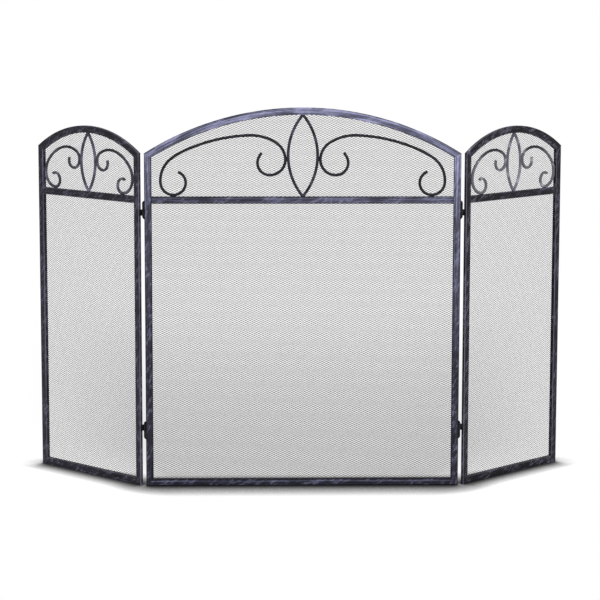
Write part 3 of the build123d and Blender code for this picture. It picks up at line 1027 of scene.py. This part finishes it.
@dataclass
class Studio:
    """White floor and background, soft lamps, and the camera of the photograph.

    Attributes:
        camera_place: Where the camera stands.
        camera_pitch: How far it looks down.
        camera_yaw: How far it looks to the right.
        camera_roll: How far it is rolled.
        camera_lens: Focal length in millimetres.
        fill: Strength of the white background as a light.
        contact_reach: Reach of the shadow right at the foot.
        contact_lean: Slope of the directions in which the wider foot shadow looks for the screen.
        lean_reach: Reach of that wider shadow at the middle and at the sides.
        lean_taper: Distances from the middle between which the reach changes.
        lean_power: Darkness of the wider shadow.
        rear_shade: Darkness of the soft shade behind the screen.
        rear_start: Depth over which that shade sets in, at the middle and at the sides.
        rear_soften: Distances from the middle between which that depth changes.
        rear_end: Depth where the shade ends.
        rear_spread: How much wider it gets with depth.
        rear_edge: Distances from the middle between which it fades out.
        floor_size: Length of the floor's sides.
        floor_drop: How far the floor lies below the feet, so that the two don't share a plane.
        floor_tone: Tone of the floor as a reflector.
        occlusion_rays: Rays in each ambient occlusion node.
    """

    camera_place: Point = (-0.1058, -4.3456, 0.9872)
    camera_pitch: float = radians(8.127)
    camera_yaw: float = radians(1.328)
    camera_roll: float = radians(0.100)
    camera_lens: float = 135.94
    fill: float = 0.30
    contact_reach: float = 0.03
    contact_lean: float = 4.0
    lean_reach: Span = (0.09, 0.046)
    lean_taper: Span = (0.24, 0.40)
    lean_power: float = 3.6
    rear_shade: float = 0.205
    rear_start: Span = (0.03, 0.35)
    rear_soften: Span = (0.22, 0.36)
    rear_end: float = 2.6
    rear_spread: float = 0.12
    rear_edge: Span = (0.22, 0.58)
    floor_size: float = 8.0
    floor_drop: float = 0.0002
    floor_tone: float = 0.70
    occlusion_rays: int = 16

    @staticmethod
    def seen_directly(graph: Graph) -> Socket:
        """1 for the rays that show the background: camera, glossy and transmission."""
        path = graph.add("LightPath").outputs
        shown = graph.math("MAXIMUM", path["Is Camera Ray"], path["Is Glossy Ray"])
        return graph.math("MAXIMUM", shown, path["Is Transmission Ray"])

    def build_world(self) -> None:
        """A white background that lights the object more softly than it looks."""
        world = bpy.data.worlds.new("studio_white")
        world.use_nodes = True
        bpy.context.scene.world = world
        graph = Graph(world.node_tree)
        shown = self.seen_directly(graph)
        strength = graph.add("MapRange", {"Value": shown, "To Min": self.fill, "To Max": 1.0}).outputs[0]
        light = graph.add("Background", {"Color": (1, 1, 1, 1), "Strength": strength})
        graph.add("OutputWorld", {"Surface": light.outputs[0]})

    def rear_shadow(self, graph: Graph, sideways: Socket, y: Socket) -> Socket:
        """The soft wide shadow behind the screen.

        Args:
            graph: The floor's graph.
            sideways: Distance from the screen's middle.
            y: The place to the rear.

        Returns:
            1 where the floor stays white, less in the shadow.
        """
        beyond = graph.math("MAXIMUM", graph.math("SUBTRACT", sideways, PIN_X), 0.0)
        depth = graph.math("SUBTRACT", y, beyond)
        softness = graph.ramp(sideways, *self.rear_soften, *self.rear_start)
        start = graph.ramp(depth, 0.0, softness, 0.0, self.rear_shade)
        end = graph.ramp(depth, 0.0, self.rear_end, 1.0, 0.0)
        widened = graph.math("MULTIPLY_ADD", depth, -self.rear_spread, sideways)
        sides = graph.ramp(widened, *self.rear_edge, 1.0, 0.0)
        shade = graph.math("MULTIPLY", graph.math("MULTIPLY", start, end), sides)
        return graph.math("SUBTRACT", 1.0, shade)

    def floor_brightness(self, graph: Graph) -> Socket:
        """How bright the floor looks: white, with the shadow at the screen's foot and the shade behind it."""
        rays = {"samples": self.occlusion_rays}
        contact = graph.add("AmbientOcclusion", {"Distance": self.contact_reach}, **rays).outputs["AO"]
        where = graph.add("SeparateXYZ", {"Vector": graph.add("TexCoord").outputs["Object"]})
        sideways = graph.math("ABSOLUTE", where.outputs["X"])
        reach = graph.ramp(sideways, *self.lean_taper, *self.lean_reach)
        shade = self.rear_shadow(graph, sideways, where.outputs["Y"])
        brightness = graph.math("MULTIPLY", contact, shade)
        for lean_y in (self.contact_lean, -self.contact_lean):
            lean = graph.add("CombineXYZ", {"Y": lean_y, "Z": 1.0}).outputs[0]
            onward = graph.add("AmbientOcclusion", {"Distance": reach, "Normal": lean}, **rays)
            shadow = graph.math("POWER", onward.outputs["AO"], self.lean_power)
            brightness = graph.math("MULTIPLY", brightness, shadow)
        return brightness

    def build_floor(self) -> None:
        """A matt floor that looks white and shows the screen's shadow."""
        bpy.ops.object.select_all(action="DESELECT")
        bpy.ops.mesh.primitive_plane_add(size=self.floor_size, location=(0, 0, -self.floor_drop))
        floor = bpy.context.object
        floor.name = "studio_floor"
        material, graph = Painter.begin("floor_white")
        light = graph.add("Emission", {"Color": (1, 1, 1, 1), "Strength": self.floor_brightness(graph)})
        tone = (self.floor_tone, self.floor_tone, self.floor_tone, 1)
        matt = graph.add("BsdfDiffuse", {"Color": tone})
        both = graph.add("MixShader", {0: self.seen_directly(graph), 1: matt.outputs[0], 2: light.outputs[0]})
        graph.add("OutputMaterial", {"Surface": both.outputs[0]})
        floor.data.materials.append(material)

    @staticmethod
    def build_lamp(lamp: Lamp) -> None:
        """One soft lamp that points at a place."""
        data = bpy.data.lights.new(lamp.name, "AREA")
        data.shape = "RECTANGLE"
        data.size, data.size_y = lamp.size
        data.energy = lamp.watts
        made = bpy.data.objects.new(lamp.name, data)
        made.location = lamp.place
        made.rotation_euler = (Vector(lamp.aim) - Vector(lamp.place)).to_track_quat("-Z", "Y").to_euler()
        bpy.context.scene.collection.objects.link(made)

    def build_camera(self) -> None:
        """The camera, fitted to the photograph."""
        data = bpy.data.cameras.new("camera")
        data.lens = self.camera_lens
        camera = bpy.data.objects.new("camera", data)
        camera.location = self.camera_place
        aim = Euler((pi / 2 - self.camera_pitch, 0, -self.camera_yaw)).to_matrix()
        camera.rotation_euler = (aim @ Matrix.Rotation(self.camera_roll, 3, "Z")).to_euler()
        bpy.context.scene.collection.objects.link(camera)
        bpy.context.scene.camera = camera

    def build(self) -> None:
        """Set up everything round the object."""
        bpy.context.scene.view_settings.view_transform = "Standard"
        self.build_world()
        self.build_floor()
        for lamp in (OVERHEAD_LAMP, FRONT_LAMP):
            self.build_lamp(lamp)
        self.build_camera()


@dataclass
class Screen:
    """The whole fireplace screen: three panels with their hinges."""

    nodes: dict[str, Piece]
    painter: Painter

    def hand_over(self, piece: Piece, body: str, finish: ForgedSkin) -> None:
        """Finish a new piece and let it ride on its body."""
        self.painter.dress(piece, self.painter.skin(finish))
        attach(piece, body)
        LOG.info("%s rides on %s, %d faces", piece.name, body, len(piece.data.polygons))

    def dress_panel(self, panel: Panel, finish: PanelFinish) -> None:
        """Paint the bars, rods and strips of one panel."""
        for bar in Bar:
            paint = self.painter.bar(panel, bar, finish.bars)
            self.painter.dress(self.nodes[f"{panel.name}_{bar.value}"], paint)
        for side in SIDES:
            self.painter.dress(self.nodes[f"{panel.name}_{side}_lens_rod"], self.painter.skin(finish.lens))
            self.painter.dress(self.nodes[f"{panel.name}_{side}_scroll"], self.painter.skin(finish.scroll))
        for strip in STRIPS:
            self.painter.dress(self.nodes[f"{panel.name}_{strip}_mesh_strip"], self.painter.skin(STRIP_SKIN))
        LOG.info("%s painted", panel.name)

    def dress_hinges(self) -> None:
        """Paint the staples and eyes."""
        for place in HINGES:
            for part in ("staple", "eye"):
                self.painter.dress(self.nodes[f"{place}_hinge_{part}"], self.painter.skin(HINGE_SKIN))

    def build_mesh(self, panel: Panel) -> None:
        """Put the fine mesh in place of the plain one, the wide panel's in two halves."""
        mesh = SparkMesh(panel)
        half_cell = mesh.long_pitch / 2
        reach = int((panel.half - mesh.side_inset) / half_cell) * half_cell
        if panel.turn == 0:
            parts = {"left_half": (-reach, 0.0), "right_half": (0.0, reach)}
        else:
            parts = {"whole": (-reach, reach)}
        for word, (low, high) in parts.items():
            piece = mesh.build(f"{panel.name}_spark_mesh_{word}", low, high)
            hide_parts(f"{panel.name}_mesh")
            self.hand_over(piece, panel.body, MESH_SKIN)

    def build_details(self, panel: Panel) -> None:
        """Add the welds and the slotted screws of one panel."""
        self.hand_over(WeldBeads(panel).build(), panel.body, WELD_SKIN)
        screws = ScrewHeads(panel).build()
        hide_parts(f"{panel.name}_mesh_screws")
        self.hand_over(screws, panel.body, SCREW_SKIN)


def main() -> None:
    """Load the frame and build everything on it."""
    logging.basicConfig(level=logging.INFO, format="%(name)s: %(message)s")
    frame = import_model()
    Studio().build()
    screen = Screen(frame["nodes"], Painter())
    finishes = (
        (centre_panel(), CENTRE_FINISH),
        (wing(-1), LEFT_WING_FINISH),
        (wing(1), RIGHT_WING_FINISH),
    )
    for panel, finish in finishes:
        screen.dress_panel(panel, finish)
        screen.build_mesh(panel)
        screen.build_details(panel)
    screen.dress_hinges()


if __name__ == "__main__":
    main()
